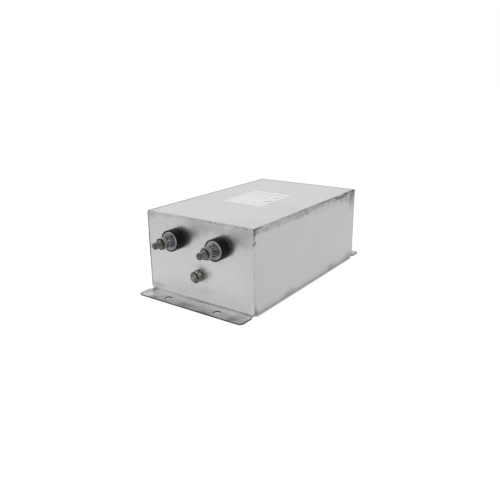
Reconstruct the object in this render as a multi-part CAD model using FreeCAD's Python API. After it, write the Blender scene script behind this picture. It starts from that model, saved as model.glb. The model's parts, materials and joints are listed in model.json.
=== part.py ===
import FreeCAD, Part
import math
import os

# Two-line interference filter in a welded sheet-steel box with folded mounting
# feet. Millimetres. X is across the box, Y runs from the line end (-Y) to the
# load end (+Y), Z is up. The origin is on the mounting plane, under the middle.

V = FreeCAD.Vector

# ---------------------------------------------------------------- dimensions
BOX_W = 154.0            # over the two side walls
BOX_L = 248.0            # over the two end walls
BOX_H = 100.0            # mounting plane to the top sheet
SHEET = 1.2              # sheet thickness
BEND_IN = 0.8            # inside radius of every fold
FOOT = 24.2              # folded foot, out from the end wall
FOOT_CORNER_R = 6.0
FOOT_HOLE_R = 4.5        # clearance holes for M8 screws
FOOT_HOLE_X = 36.75      # half of their pitch across
FOOT_HOLE_OUT = 14.0     # hole centre, out from the end wall
RELIEF_R = 2.0           # round relief at each end of the foot's fold
NOTCH_R = 1.25           # locating notch in the end wall's edge
NOTCH_Z = 83.0

TERM_X = (-32.2, 32.2)   # the two power terminals, across
TERM_Z = 71.8
TERM_HOLE_R = 8.0
INS_R = 12.5             # insulator body
INS_LEN = 12.0           # out from the end wall
INS_RECESS = 1.5
DISC_R = 11.0
M8_CREST = 4.0
M8_PITCH = 3.6           # thread line where a nut holds the stud
M8_AF = 13.0
M8_NUT_H = 6.5
M8_TOOTH_T = 1.1
STUD_OUT = 36.0          # stud tip, out from the end wall

EARTH_X = 0.0
EARTH_Z = 32.8
EARTH_HOLE_R = 4.3
EARTH_OUT = 10.6         # earth stud's tip, out from the end wall

BUSH_LEN = 8.0           # insulating bushing behind the end wall
WASHER_T = 1.6
BAR_T = 3.0              # copper bars
BAR_W = 20.0
BAR_TOP = 62.5           # upper face of a bar's flat leg

CX = (TERM_X[0] + TERM_X[1]) / 2.0   # the choke sits midway between the terminals
CORE_TRAY_R = (30.0, 56.0)
CORE_TRAY_Z = (26.0, 60.0)
CORE_LID_T = 2.0
CORE_R = (34.0, 52.0)
CORE_Z = (28.0, 58.0)
WIRE_R = 2.5
TURNS = 7

LABEL_X = (-32.0, 26.0)
LABEL_Y = (-36.0, 38.0)
LABEL_T = 0.2
BEAD_H = 0.35            # weld bead, proud of the side wall

HALF_W = BOX_W / 2.0
HALF_L = BOX_L / 2.0
WALL_IN = HALF_L - SHEET           # inner face of an end wall
SIDE_IN = HALF_W - SHEET

os.makedirs("parts", exist_ok=True)


# ------------------------------------------------------------------- helpers
def cyl(r, p0, p1):
    """A cylinder between two points."""
    a, b = V(*p0), V(*p1)
    return Part.makeCylinder(r, (b - a).Length, a, b - a)


def tube(r_in, r_out, p0, p1):
    a, b = V(*p0), V(*p1)
    d = (b - a).normalize()
    return cyl(r_out, p0, p1).cut(Part.makeCylinder(r_in, (V(*p1) - a).Length + 2.0, a - d, d))


def box(x, y, z):
    return Part.makeBox(x[1] - x[0], y[1] - y[0], z[1] - z[0], V(x[0], y[0], z[0]))


def lathe_y(points, x, z):
    """A solid of revolution about a line along Y. The points are (radius, y)."""
    pts = [V(x + r, y, z) for r, y in points]
    wire = Part.makePolygon(pts + [pts[0]])
    return Part.Face(wire).revolve(V(x, 0, z), V(0, 1, 0), 360)


def hexagon(af, x, y, z, length, spin):
    """A hexagonal prism along +Y."""
    r = af / math.sqrt(3.0)
    pts = [
        V(x + r * math.cos(math.radians(60 * i + spin)), y, z + r * math.sin(math.radians(60 * i + spin)))
        for i in range(6)
    ]
    return Part.Face(Part.makePolygon(pts + [pts[0]])).extrude(V(0, length, 0))


def nut(af, bore, x, y, z, length, spin):
    """A hexagon nut from y to y + length, chamfered on both faces."""
    r = af / math.sqrt(3.0)
    low = 0.95 * af / 2.0
    rise = (r - low) * math.tan(math.radians(30))
    body = lathe_y(
        [
            (bore + 0.45, y),
            (low, y),
            (r + 0.01, y + rise),
            (r + 0.01, y + length - rise),
            (low, y + length),
            (bore + 0.45, y + length),
            (bore, y + length - 0.45),
            (bore, y + 0.45),
        ],
        x,
        z,
    )
    return body.common(hexagon(af, x, y - 1.0, z, length + 2.0, spin))


def toothed_washer(bore, root, tip, teeth, x, y, z, length, spin):
    """A lock washer with teeth round its outer edge, from y to y + length."""
    pts = []
    for i in range(teeth):
        a = 2 * math.pi * i / teeth + math.radians(spin)
        p = 2 * math.pi / teeth
        for r, da in ((root, -0.46 * p), (tip, -0.28 * p), (tip, 0.28 * p), (root, 0.46 * p)):
            pts.append(V(x + r * math.cos(a + da), y, z + r * math.sin(a + da)))
    ring = Part.Face(Part.makePolygon(pts + [pts[0]])).extrude(V(0, length, 0))
    return ring.cut(Part.makeCylinder(bore, length + 2.0, V(x, y - 1.0, z), V(0, 1, 0)))


def strip(pts, t, rc, to3d, sweep):
    """A folded sheet: a centre line with corners of radius rc, thickness t, swept by a vector."""
    pts = [V(a, b, 0) for a, b in pts]
    dirs = [(pts[i + 1] - pts[i]).normalize() for i in range(len(pts) - 1)]
    sides = []
    for s in (0.5 * t, -0.5 * t):
        chain = [("p", pts[0] + V(-dirs[0].y, dirs[0].x, 0) * s)]
        for i in range(1, len(pts) - 1):
            d1, d2 = dirs[i - 1], dirs[i]
            n1, n2 = V(-d1.y, d1.x, 0), V(-d2.y, d2.x, 0)
            half = d1.getAngle(d2) / 2.0
            tl = rc * math.tan(half)
            t1, t2 = pts[i] - d1 * tl, pts[i] + d2 * tl
            c = pts[i] + (d2 - d1).normalize() * (rc / math.cos(half))
            a, b = t1 + n1 * s, t2 + n2 * s
            m = c + (pts[i] - c).normalize() * (a - c).Length
            chain.append(("a", a, m, b))
        chain.append(("p", pts[-1] + V(-dirs[-1].y, dirs[-1].x, 0) * s))
        sides.append(chain)
    edges = []

    def line(a, b):
        edges.append(Part.makeLine(to3d(a), to3d(b)))

    for chain in sides:
        last = chain[0][1]
        for item in chain[1:]:
            line(last, item[1])
            if item[0] == "a":
                edges.append(Part.Arc(to3d(item[1]), to3d(item[2]), to3d(item[3])).toShape())
                last = item[3]
            else:
                last = item[1]
    line(sides[0][0][1], sides[1][0][1])
    line(sides[0][-1][1], sides[1][-1][1])
    wire = Part.Wire(Part.__sortEdges__(edges))
    return Part.Face(wire).extrude(sweep)


def bent_wire(points, bend, r):
    """A round wire through the points, with a bend of one radius at each corner."""
    pts = [V(*p) for p in points]
    edges = []
    last = pts[0]
    for i in range(1, len(pts) - 1):
        d1 = (pts[i] - pts[i - 1]).normalize()
        d2 = (pts[i + 1] - pts[i]).normalize()
        half = d1.getAngle(d2) / 2.0
        tl = bend * math.tan(half)
        c = pts[i] + (d2 - d1).normalize() * (bend / math.cos(half))
        a, b = pts[i] - d1 * tl, pts[i] + d2 * tl
        m = c + (pts[i] - c).normalize() * bend
        edges.append(Part.makeLine(last, a))
        edges.append(Part.Arc(a, m, b).toShape())
        last = b
    edges.append(Part.makeLine(last, pts[-1]))
    spine = Part.Wire(edges)
    ring = Part.Wire([Part.makeCircle(r, pts[0], pts[1] - pts[0])])
    return spine.makePipeShell([ring], True, False)


def to_load_end(shape):
    """The same piece at the load end, mirrored in the plane y = 0."""
    return shape.mirror(V(0, 0, 0), V(0, 1, 0))


def across(shape):
    """The same piece on the other line, mirrored in the choke's own middle plane."""
    return shape.mirror(V(CX, 0, 0), V(1, 0, 0))


def both_ends(shapes):
    return Part.makeCompound(shapes + [to_load_end(s) for s in shapes])


nodes = {}

# ------------------------------------------------------------------ the cover
# One folded sheet: foot, end wall, top, end wall, foot.
mid = SHEET / 2.0
cover = strip(
    [
        (-HALF_L - FOOT, mid),
        (-HALF_L + mid, mid),
        (-HALF_L + mid, BOX_H - mid),
        (HALF_L - mid, BOX_H - mid),
        (HALF_L - mid, mid),
        (HALF_L + FOOT, mid),
    ],
    SHEET,
    BEND_IN + mid,
    lambda p: V(-HALF_W, p.x, p.y),
    V(BOX_W, 0, 0),
)
cuts = []
for end in (-1, 1):
    y_wall = end * HALF_L
    for side in (-1, 1):
        # rounded foot corner
        cx = side * (HALF_W - FOOT_CORNER_R)
        cy = end * (HALF_L + FOOT - FOOT_CORNER_R)
        corner = box(
            sorted((cx, side * (HALF_W + 1.0))),
            sorted((cy, end * (HALF_L + FOOT + 1.0))),
            (-1.0, SHEET + 1.0),
        )
        cuts.append(corner.cut(cyl(FOOT_CORNER_R, (cx, cy, -2.0), (cx, cy, SHEET + 2.0))))
        # mounting hole
        hx, hy = side * FOOT_HOLE_X, end * (HALF_L + FOOT_HOLE_OUT)
        cuts.append(cyl(FOOT_HOLE_R, (hx, hy, -1.0), (hx, hy, SHEET + 1.0)))
        # round relief at the end of the fold
        cuts.append(cyl(RELIEF_R, (side * HALF_W, end * (WALL_IN - 0.5), SHEET), (side * HALF_W, end * (HALF_L + 4.5), SHEET)))
    for x in TERM_X:
        cuts.append(cyl(TERM_HOLE_R, (x, end * (WALL_IN - 2.0), TERM_Z), (x, end * (HALF_L + 2.0), TERM_Z)))
    cuts.append(cyl(EARTH_HOLE_R, (EARTH_X, end * (WALL_IN - 2.0), EARTH_Z), (EARTH_X, end * (HALF_L + 2.0), EARTH_Z)))
# locating notch in the line end's right-hand edge
cuts.append(cyl(NOTCH_R, (HALF_W, -HALF_L - 1.0, NOTCH_Z), (HALF_W, -WALL_IN + 0.5, NOTCH_Z)))
for c in cuts:
    cover = cover.cut(c)
nodes["case_cover"] = cover

# ------------------------------------------------------------------- the tray
# One folded sheet: side wall, bottom, side wall. It stands inside the cover's
# end walls and under its top sheet.
tray = strip(
    [
        (-HALF_W + mid, BOX_H - SHEET),
        (-HALF_W + mid, mid),
        (HALF_W - mid, mid),
        (HALF_W - mid, BOX_H - SHEET),
    ],
    SHEET,
    BEND_IN + mid,
    lambda p: V(p.x, -WALL_IN, p.y),
    V(0, 2 * WALL_IN, 0),
)
for end in (-1, 1):
    # the upper corners are cropped to clear the inside of the cover's folds
    y, z, c = end * WALL_IN, BOX_H - SHEET, 1.2
    tri = Part.makePolygon(
        [
            V(-HALF_W - 1, y + end, z + 1),
            V(-HALF_W - 1, y + end, z - c - 1),
            V(-HALF_W - 1, y - end * (c + 1), z + 1),
            V(-HALF_W - 1, y + end, z + 1),
        ]
    )
    tray = tray.cut(Part.Face(tri).extrude(V(BOX_W + 2, 0, 0)))
nodes["case_tray"] = tray


# ---------------------------------------------------------------- weld beads
def bead(a, b, chord, depth):
    """A low half-round bead on the side face, between two points, chord along the third axis."""
    a, b = V(*a), V(*b)
    run = (b - a).normalize()
    out = V(math.copysign(1.0, a.x), 0, 0)
    w = run.cross(out)
    p0, p1, p2 = a - w * (chord / 2), a + out * depth, a + w * (chord / 2)
    face = Part.Face(Part.Wire([Part.Arc(p0, p1, p2).toShape(), Part.makeLine(p2, p0)]))
    return face.extrude(b - a)


beads = []
for side in (-1, 1):
    x = side * HALF_W
    beads.append(bead((x, -WALL_IN + 1.5, 98.7), (x, WALL_IN - 1.5, 98.7), 1.9, BEAD_H))
    for end in (-1, 1):
        y = end * (WALL_IN - 0.1)
        if side > 0 and end < 0:
            # this one is broken by the locating notch
            beads.append(bead((x, y, 5.0), (x, y, NOTCH_Z - 1.8), 1.9, BEAD_H))
            beads.append(bead((x, y, NOTCH_Z + 1.8), (x, y, 96.5), 1.9, BEAD_H))
        else:
            beads.append(bead((x, y, 5.0), (x, y, 96.5), 1.9, BEAD_H))
nodes["seam_welds"] = Part.makeCompound(beads)

# -------------------------------------------------------------- rating plate
lab = box(LABEL_X, LABEL_Y, (BOX_H, BOX_H + LABEL_T))
nodes["rating_plate"] = lab.makeFillet(
    3.0, [e for e in lab.Edges if abs(e.Vertexes[0].Z - e.Vertexes[1].Z) > LABEL_T / 2]
)

# ------------------------------------------------------------ power terminals
W0 = -HALF_L                      # outer face of the line end wall
I0 = -WALL_IN                     # its inner face
Y_DISC = W0 - INS_LEN             # outer face of the disc and the insulator
Y_CLAMP = Y_DISC - M8_NUT_H
Y_TOOTH = Y_CLAMP - M8_TOOTH_T
Y_NUT = Y_TOOTH - M8_NUT_H
Y_TIP = W0 - STUD_OUT
B1 = I0 + BUSH_LEN                # inner end of the bushing
B2 = B1 + WASHER_T
B3 = B2 + M8_NUT_H                # outer face of the copper bar
B4 = B3 + BAR_T
B5 = B4 + M8_NUT_H
STUD_IN = B5 + 3.2

SPIN = {"clamp": (11, 24), "outer": (19, 3), "inner": (7, 28)}


def insulator(x):
    body = lathe_y(
        [
            (4.2, Y_DISC + INS_RECESS),
            (DISC_R + 0.15, Y_DISC + INS_RECESS),
            (DISC_R + 0.15, Y_DISC),
            (INS_R - 0.4, Y_DISC),
            (INS_R, Y_DISC + 0.4),
            (INS_R, W0),
            (7.8, W0),
            (7.8, I0 + 5.8),
            (4.2, I0 + 5.8),
        ],
        x,
        TERM_Z,
    )
    return body


def stud(x):
    return lathe_y(
        [
            (0.0, Y_TIP),
            (2.9, Y_TIP),
            (M8_CREST, Y_TIP + 1.1),
            (M8_CREST, Y_NUT),
            (M8_PITCH, Y_NUT),
            (M8_PITCH, STUD_IN - 0.8),
            (2.9, STUD_IN),
            (0.0, STUD_IN),
        ],
        x,
        TERM_Z,
    )


def disc(x):
    return lathe_y(
        [
            (4.3, Y_DISC),
            (DISC_R - 0.5, Y_DISC),
            (DISC_R, Y_DISC + 0.5),
            (DISC_R, Y_DISC + INS_RECESS),
            (4.3, Y_DISC + INS_RECESS),
        ],
        x,
        TERM_Z,
    )


def bushing(x):
    return lathe_y(
        [
            (8.0, I0),
            (INS_R, I0),
            (INS_R, B1 - 0.6),
            (INS_R - 0.6, B1),
            (4.2, B1),
            (4.2, I0 + 6.0),
            (8.0, I0 + 6.0),
        ],
        x,
        TERM_Z,
    )


discs, clamps, teeth, outers, bushes, washers, inners = [], [], [], [], [], [], []
for i, x in enumerate(TERM_X):
    hand = ("left", "right")[i]
    ins, st = insulator(x), stud(x)
    nodes["line_insulator_" + hand] = ins
    nodes["load_insulator_" + hand] = to_load_end(ins)
    nodes["line_stud_" + hand] = st
    nodes["load_stud_" + hand] = to_load_end(st)
    discs.append(disc(x))
    clamps.append(nut(M8_AF, M8_PITCH, x, Y_CLAMP, TERM_Z, M8_NUT_H, SPIN["clamp"][i]))
    teeth.append(toothed_washer(4.2, 5.9, 7.5, 14, x, Y_TOOTH, TERM_Z, M8_TOOTH_T, 9 * i))
    outers.append(nut(M8_AF, M8_PITCH, x, Y_NUT, TERM_Z, M8_NUT_H, SPIN["outer"][i]))
    bushes.append(bushing(x))
    washers.append(tube(4.2, 9.0, (x, B1, TERM_Z), (x, B2, TERM_Z)))
    inners.append(nut(M8_AF, M8_PITCH, x, B2, TERM_Z, M8_NUT_H, SPIN["inner"][i]))
    inners.append(nut(M8_AF, M8_PITCH, x, B4, TERM_Z, M8_NUT_H, SPIN["inner"][i] + 17))
nodes["terminal_discs"] = both_ends(discs)
nodes["terminal_clamp_nuts"] = both_ends(clamps)
nodes["terminal_lock_washers"] = both_ends(teeth)
nodes["terminal_nuts"] = both_ends(outers)
nodes["inner_bushings"] = both_ends(bushes)
nodes["inner_washers"] = both_ends(washers)
nodes["inner_nuts"] = both_ends(inners)

# --------------------------------------------------------------- earth studs
E_TOOTH = W0 - M8_TOOTH_T
E_NUT = E_TOOTH - M8_NUT_H
E_TIP = W0 - EARTH_OUT
F1 = I0 + M8_NUT_H                # outer face of the earth link
F2 = F1 + 1.0
F3 = F2 + M8_NUT_H
E_IN = F3 + 2.4
earth_stud = lathe_y(
    [
        (0.0, E_TIP),
        (3.2, E_TIP),
        (M8_CREST, E_TIP + 0.8),
        (M8_CREST, E_NUT),
        (M8_PITCH, E_NUT),
        (M8_PITCH, E_IN - 0.8),
        (2.9, E_IN),
        (0.0, E_IN),
    ],
    EARTH_X,
    EARTH_Z,
)
nodes["line_earth_stud"] = earth_stud
nodes["load_earth_stud"] = to_load_end(earth_stud)
nodes["earth_lock_washers"] = both_ends(
    [toothed_washer(4.2, 5.9, 7.5, 14, EARTH_X, E_TOOTH, EARTH_Z, M8_TOOTH_T, 6)]
)
nodes["earth_nuts"] = both_ends([nut(M8_AF, M8_PITCH, EARTH_X, E_NUT, EARTH_Z, M8_NUT_H, 36)])
nodes["earth_inner_nuts"] = both_ends(
    [
        nut(M8_AF, M8_PITCH, EARTH_X, I0, EARTH_Z, M8_NUT_H, 25),
        nut(M8_AF, M8_PITCH, EARTH_X, F2, EARTH_Z, M8_NUT_H, 5),
    ]
)

# --------------------------------------------------------------- copper bars
# Each bar hangs on its terminal stud and folds flat towards the choke.
for i, x in enumerate(TERM_X):
    hand = ("left", "right")[i]
    bar = strip(
        [
            (B3 + BAR_T / 2, 90.0),
            (B3 + BAR_T / 2, BAR_TOP - BAR_T / 2),
            (-66.0, BAR_TOP - BAR_T / 2),
        ],
        BAR_T,
        3.0 + BAR_T / 2,
        lambda p: V(x - BAR_W / 2, p.x, p.y),
        V(BAR_W, 0, 0),
    )
    bar = bar.cut(cyl(4.2, (x, B3 - 2, TERM_Z), (x, B4 + 2, TERM_Z)))
    nodes["line_bar_" + hand] = bar
    nodes["load_bar_" + hand] = to_load_end(bar)

# --------------------------------------------------------------------- choke
nodes["choke_core"] = tube(CORE_R[0], CORE_R[1], (CX, 0, CORE_Z[0]), (CX, 0, CORE_Z[1]))
core_tray = tube(CORE_TRAY_R[0], CORE_TRAY_R[1], (CX, 0, CORE_TRAY_Z[0]), (CX, 0, CORE_TRAY_Z[1]))
core_tray = core_tray.cut(
    tube(CORE_TRAY_R[0] + 2.0, CORE_TRAY_R[1] - 2.0, (CX, 0, CORE_Z[0]), (CX, 0, CORE_TRAY_Z[1] + 1.0))
)
nodes["choke_core_tray"] = core_tray
nodes["choke_core_lid"] = tube(
    CORE_TRAY_R[0], CORE_TRAY_R[1], (CX, 0, CORE_TRAY_Z[1]), (CX, 0, CORE_TRAY_Z[1] + CORE_LID_T)
)

R_IN = CORE_TRAY_R[0] - WIRE_R - 0.5
R_OUT = CORE_TRAY_R[1] + WIRE_R + 0.5
Z_LOW = CORE_TRAY_Z[0] - WIRE_R - 0.5
Z_UP = BAR_TOP + WIRE_R            # the wire's ends lie on the bars
REACH = TERM_X[1] - CX
SWING = math.acos(REACH / R_OUT)
PITCH = 2 * SWING / TURNS


def ring_point(radius, angle, z):
    return (CX + radius * math.cos(angle), radius * math.sin(angle), z)


path = [(TERM_X[1], -79.0, Z_UP)]
for i in range(TURNS):
    a0 = -SWING + i * PITCH
    a1 = a0 + PITCH / 2
    path.append(ring_point(R_OUT, a0, Z_UP))
    path.append(ring_point(R_IN, a1, Z_UP))
    path.append(ring_point(R_IN, a1, Z_LOW))
    path.append(ring_point(R_OUT, a0 + PITCH, Z_LOW))
path.append(ring_point(R_OUT, SWING, Z_UP))
path.append((TERM_X[1], 79.0, Z_UP))
winding = bent_wire(path, 3.6, WIRE_R)
nodes["choke_winding_right"] = winding
nodes["choke_winding_left"] = across(winding)

FLOOR = SHEET + 0.5                # upper face of the insulating liner
nodes["choke_divider"] = box((CX - 1.0, CX + 1.0), (-29.9, 29.9), (FLOOR + 6.0, CORE_TRAY_Z[1] + CORE_LID_T))
base = box((CX - 50.0, CX + 50.0), (-55.0, 55.0), (FLOOR, FLOOR + 6.0))
for end in (-1, 1):
    base = base.fuse(
        box((CX - 12.0, CX + 12.0), sorted((end * 33.0, end * 51.0)), (FLOOR + 6.0, CORE_TRAY_Z[0]))
    )
nodes["choke_base"] = base.removeSplitter()

# ---------------------------------------------------------------- capacitors
x_cap = box((CX - 28.75, CX + 28.75), (-96.0, -64.0), (FLOOR, 53.7))
x_cap = x_cap.makeFillet(1.5, x_cap.Edges)
for dx in (-26.25, 26.25):
    x_cap = x_cap.fuse(cyl(0.6, (CX + dx, -80.0, 52.0), (CX + dx, -80.0, BAR_TOP - BAR_T)))
nodes["x_capacitor_line"] = x_cap
nodes["x_capacitor_load"] = to_load_end(x_cap)

y_cap = box((CX - 48.0, CX - 30.0), (-99.0, -89.0), (FLOOR, 17.7))
y_cap = y_cap.makeFillet(1.0, y_cap.Edges)
y_cap = y_cap.fuse(cyl(0.4, (CX - 34.0, -94.0, 16.5), (CX - 34.0, -94.0, BAR_TOP - BAR_T)))
y_lead = [(CX - 44.0, -94.0, 16.5), (CX - 44.0, -94.0, EARTH_Z), (CX - 44.0, F2, EARTH_Z)]
y_cap = y_cap.fuse(bent_wire(y_lead, 3.0, 0.4))
nodes["y_capacitors"] = both_ends([y_cap, across(y_cap)])

link = box((CX - 48.0, CX + 48.0), (F1, F2), (EARTH_Z - 5.0, EARTH_Z + 5.0))
link = link.cut(cyl(4.2, (EARTH_X, F1 - 1, EARTH_Z), (EARTH_X, F2 + 1, EARTH_Z)))
nodes["line_earth_link"] = link
nodes["load_earth_link"] = to_load_end(link)

resistor = cyl(3.5, (CX - 10.0, -88.0, 69.0), (CX + 10.0, -88.0, 69.0))
resistor = resistor.makeFillet(0.8, resistor.Edges[0:1] + resistor.Edges[2:3])
lead = bent_wire([(CX - 9.0, -88.0, 69.0), (CX - 26.0, -88.0, 69.0), (CX - 26.0, -88.0, BAR_TOP)], 2.0, 0.45)
nodes["discharge_resistor"] = resistor.fuse(lead).fuse(across(lead))

# ------------------------------------------------------------ liner and resin
nodes["insulating_liner"] = strip(
    [
        (-SIDE_IN + 0.25, 92.0),
        (-SIDE_IN + 0.25, SHEET + 0.25),
        (SIDE_IN - 0.25, SHEET + 0.25),
        (SIDE_IN - 0.25, 92.0),
    ],
    0.5,
    1.35,
    lambda p: V(p.x, -112.0, p.y),
    V(0, 224.0, 0),
)
RX = SIDE_IN - 0.5
profile = [(-RX + 1.3, FLOOR), (RX - 1.3, FLOOR), (RX, FLOOR + 1.3), (RX, 12.0), (-RX, 12.0), (-RX, FLOOR + 1.3)]
poly = Part.makePolygon([V(a, -112.0, b) for a, b in profile + profile[:1]])
resin = Part.Face(poly).extrude(V(0, 224.0, 0))
for name in ("choke_base", "choke_divider", "x_capacitor_line", "x_capacitor_load"):
    resin = resin.cut(nodes[name])
for s in nodes["y_capacitors"].Solids:
    resin = resin.cut(s)
nodes["potting_resin"] = resin

# -------------------------------------------------------------------- export
for name, shape in nodes.items():
    shape.exportStep("parts/" + name + ".step")
    print(name, len(shape.Solids), shape.isValid(), round(shape.Volume, 1))
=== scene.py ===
import bpy
import json
import math
import random
from mathutils import Matrix, Vector


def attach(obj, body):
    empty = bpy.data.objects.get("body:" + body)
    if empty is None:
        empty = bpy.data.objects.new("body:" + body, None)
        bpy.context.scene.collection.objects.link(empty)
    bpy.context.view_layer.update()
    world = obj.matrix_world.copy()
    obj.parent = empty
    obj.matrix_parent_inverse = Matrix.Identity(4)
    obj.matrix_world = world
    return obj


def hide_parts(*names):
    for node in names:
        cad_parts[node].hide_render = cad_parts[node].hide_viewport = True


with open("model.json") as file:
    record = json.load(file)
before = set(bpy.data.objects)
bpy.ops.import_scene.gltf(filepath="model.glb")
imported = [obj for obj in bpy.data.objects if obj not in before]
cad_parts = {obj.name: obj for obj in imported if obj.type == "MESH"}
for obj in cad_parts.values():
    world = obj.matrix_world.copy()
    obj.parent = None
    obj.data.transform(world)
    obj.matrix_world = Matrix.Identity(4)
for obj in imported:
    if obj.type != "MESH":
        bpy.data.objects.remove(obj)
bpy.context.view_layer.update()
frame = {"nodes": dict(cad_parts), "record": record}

NODES = frame["nodes"]
MM = 0.001
scene = bpy.context.scene

# ---------------------------------------------------------------- dimensions
HALF_W, HALF_L, HEIGHT, SHEET = 77.0, 124.0, 100.0, 1.2
TERM_X, TERM_Z = (-32.2, 32.2), 71.8
EARTH_X, EARTH_Z = 0.0, 32.8
NOTCH_Z = 83.0

# painted light: one plating painted a different brightness on each face, lightest on top, darkest on the long sides
BASE_TOP_LIT, BASE_FRONT_LIT, BASE_SIDE_SHADED = 0.560, 0.545, 0.465
# painted reflection of the end wall in the foot: its strength beside the wall and at the foot's front
FOOT_REFLECT_NEAR, FOOT_REFLECT_FAR = 1.66, 1.02
FOOT_OUT, FOOT_CORNER = 24.2, 6.0


# ------------------------------------------------------------ shader building
class Graph:
    """Small helper that adds nodes to one material and links them."""

    def __init__(self, name):
        self.mat = bpy.data.materials.new(name)
        self.mat.use_nodes = True
        self.nt = self.mat.node_tree
        self.nt.nodes.clear()
        self.out = self.nt.nodes.new("ShaderNodeOutputMaterial")
        self.bsdf = self.nt.nodes.new("ShaderNodeBsdfPrincipled")
        self.nt.links.new(self.bsdf.outputs["BSDF"], self.out.inputs["Surface"])
        tc = self.nt.nodes.new("ShaderNodeTexCoord")
        mul = self.nt.nodes.new("ShaderNodeVectorMath")
        mul.operation = "SCALE"
        mul.inputs["Scale"].default_value = 1000.0
        self.nt.links.new(tc.outputs["Object"], mul.inputs[0])
        self.co = mul.outputs[0]
        self.x, self.y, self.z = self.split(self.co)
        self._n = None

    def put(self, socket, value):
        if isinstance(value, bpy.types.NodeSocket):
            self.nt.links.new(value, socket)
        elif isinstance(value, (tuple, list)) and len(value) == 3 and len(socket.default_value) == 4:
            socket.default_value = (*value, 1.0)
        else:
            socket.default_value = value

    def split(self, vec):
        s = self.nt.nodes.new("ShaderNodeSeparateXYZ")
        self.nt.links.new(vec, s.inputs[0])
        return s.outputs[0], s.outputs[1], s.outputs[2]

    @property
    def normal(self):
        if self._n is None:
            g = self.nt.nodes.new("ShaderNodeNewGeometry")
            self._n = self.split(g.outputs["Normal"])
        return self._n

    def math(self, op, a, b=None, c=None, clamp=False):
        n = self.nt.nodes.new("ShaderNodeMath")
        n.operation = op
        n.use_clamp = clamp
        self.put(n.inputs[0], a)
        if b is not None:
            self.put(n.inputs[1], b)
        if c is not None:
            self.put(n.inputs[2], c)
        return n.outputs[0]

    def add(self, a, b):
        return self.math("ADD", a, b)

    def sub(self, a, b):
        return self.math("SUBTRACT", a, b)

    def mul(self, a, b, clamp=False):
        return self.math("MULTIPLY", a, b, clamp=clamp)

    def ramp(self, v, lo, hi, to_lo=0.0, to_hi=1.0):
        """A smooth step from to_lo at lo to to_hi at hi."""
        n = self.nt.nodes.new("ShaderNodeMapRange")
        n.interpolation_type = "SMOOTHSTEP"
        flip = not isinstance(lo, bpy.types.NodeSocket) and not isinstance(hi, bpy.types.NodeSocket) and lo > hi
        if flip:
            lo, hi, to_lo, to_hi = hi, lo, to_hi, to_lo
        self.put(n.inputs["Value"], v)
        self.put(n.inputs["From Min"], lo)
        self.put(n.inputs["From Max"], hi)
        self.put(n.inputs["To Min"], to_lo)
        self.put(n.inputs["To Max"], to_hi)
        return n.outputs[0]

    def stretch(self, sx, sy, sz, shift=(0, 0, 0)):
        n = self.nt.nodes.new("ShaderNodeMapping")
        self.nt.links.new(self.co, n.inputs["Vector"])
        n.inputs["Scale"].default_value = (sx, sy, sz)
        n.inputs["Location"].default_value = shift
        return n.outputs[0]

    def noise(self, scale, detail=3.0, rough=0.55, vec=None, distortion=0.0):
        """Noise with about `scale` features per millimetre."""
        n = self.nt.nodes.new("ShaderNodeTexNoise")
        self.nt.links.new(vec if vec is not None else self.co, n.inputs["Vector"])
        n.inputs["Scale"].default_value = scale
        n.inputs["Detail"].default_value = detail
        n.inputs["Roughness"].default_value = rough
        n.inputs["Distortion"].default_value = distortion
        return n.outputs["Fac"]

    def spots(self, scale, vec=None):
        n = self.nt.nodes.new("ShaderNodeTexVoronoi")
        self.nt.links.new(vec if vec is not None else self.co, n.inputs["Vector"])
        n.inputs["Scale"].default_value = scale
        return n.outputs["Distance"]

    def mix(self, f, a, b):
        n = self.nt.nodes.new("ShaderNodeMix")
        n.data_type = "RGBA"
        self.put(n.inputs[0], f)
        self.put(n.inputs[6], a)
        self.put(n.inputs[7], b)
        return n.outputs[2]

    def lerp(self, f, a, b):
        n = self.nt.nodes.new("ShaderNodeMix")
        n.data_type = "FLOAT"
        self.put(n.inputs[0], f)
        self.put(n.inputs[2], a)
        self.put(n.inputs[3], b)
        return n.outputs[0]

    def grey(self, v, tint=(1.0, 1.0, 1.0)):
        """A grey value turned into a colour with a slight tint."""
        n = self.nt.nodes.new("ShaderNodeCombineColor")
        for i in range(3):
            self.put(n.inputs[i], self.mul(v, tint[i]) if tint[i] != 1.0 else v)
        return n.outputs[0]

    def bump(self, height, strength, distance):
        n = self.nt.nodes.new("ShaderNodeBump")
        self.put(n.inputs["Height"], height)
        n.inputs["Strength"].default_value = strength
        n.inputs["Distance"].default_value = distance
        self.nt.links.new(n.outputs[0], self.bsdf.inputs["Normal"])

    def finish(self, color, rough, metallic=0.0, specular=0.5):
        self.put(self.bsdf.inputs["Base Color"], color)
        self.put(self.bsdf.inputs["Roughness"], rough)
        self.put(self.bsdf.inputs["Metallic"], metallic)
        self.put(self.bsdf.inputs["Specular IOR Level"], specular)
        return self.mat

    def away(self, cx, cz):
        """Distance in the XZ plane from a line along Y."""
        dx, dz = self.sub(self.x, cx), self.sub(self.z, cz)
        return self.math("SQRT", self.add(self.mul(dx, dx), self.mul(dz, dz)))

    def from_axis(self):
        """Distance from the nearest stud's axis."""
        d = self.away(EARTH_X, EARTH_Z)
        for x in TERM_X:
            d = self.math("MINIMUM", d, self.away(x, TERM_Z))
        return d

    def round_terminal(self, per_turn, shift):
        """A cosine wave counted round the nearest power stud."""
        dx = self.sub(self.x, self.mul(self.math("SIGN", self.x), TERM_X[1]))
        a = self.math("ARCTAN2", self.sub(self.z, TERM_Z), dx)
        return self.math("COSINE", self.mul(self.add(a, shift), per_turn))

    def span(self, v, lo, hi, soft=6.0):
        """1 between lo and hi, with soft ends."""
        return self.mul(self.ramp(v, lo - soft, lo + soft), self.ramp(v, hi + soft, hi - soft))

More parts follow.
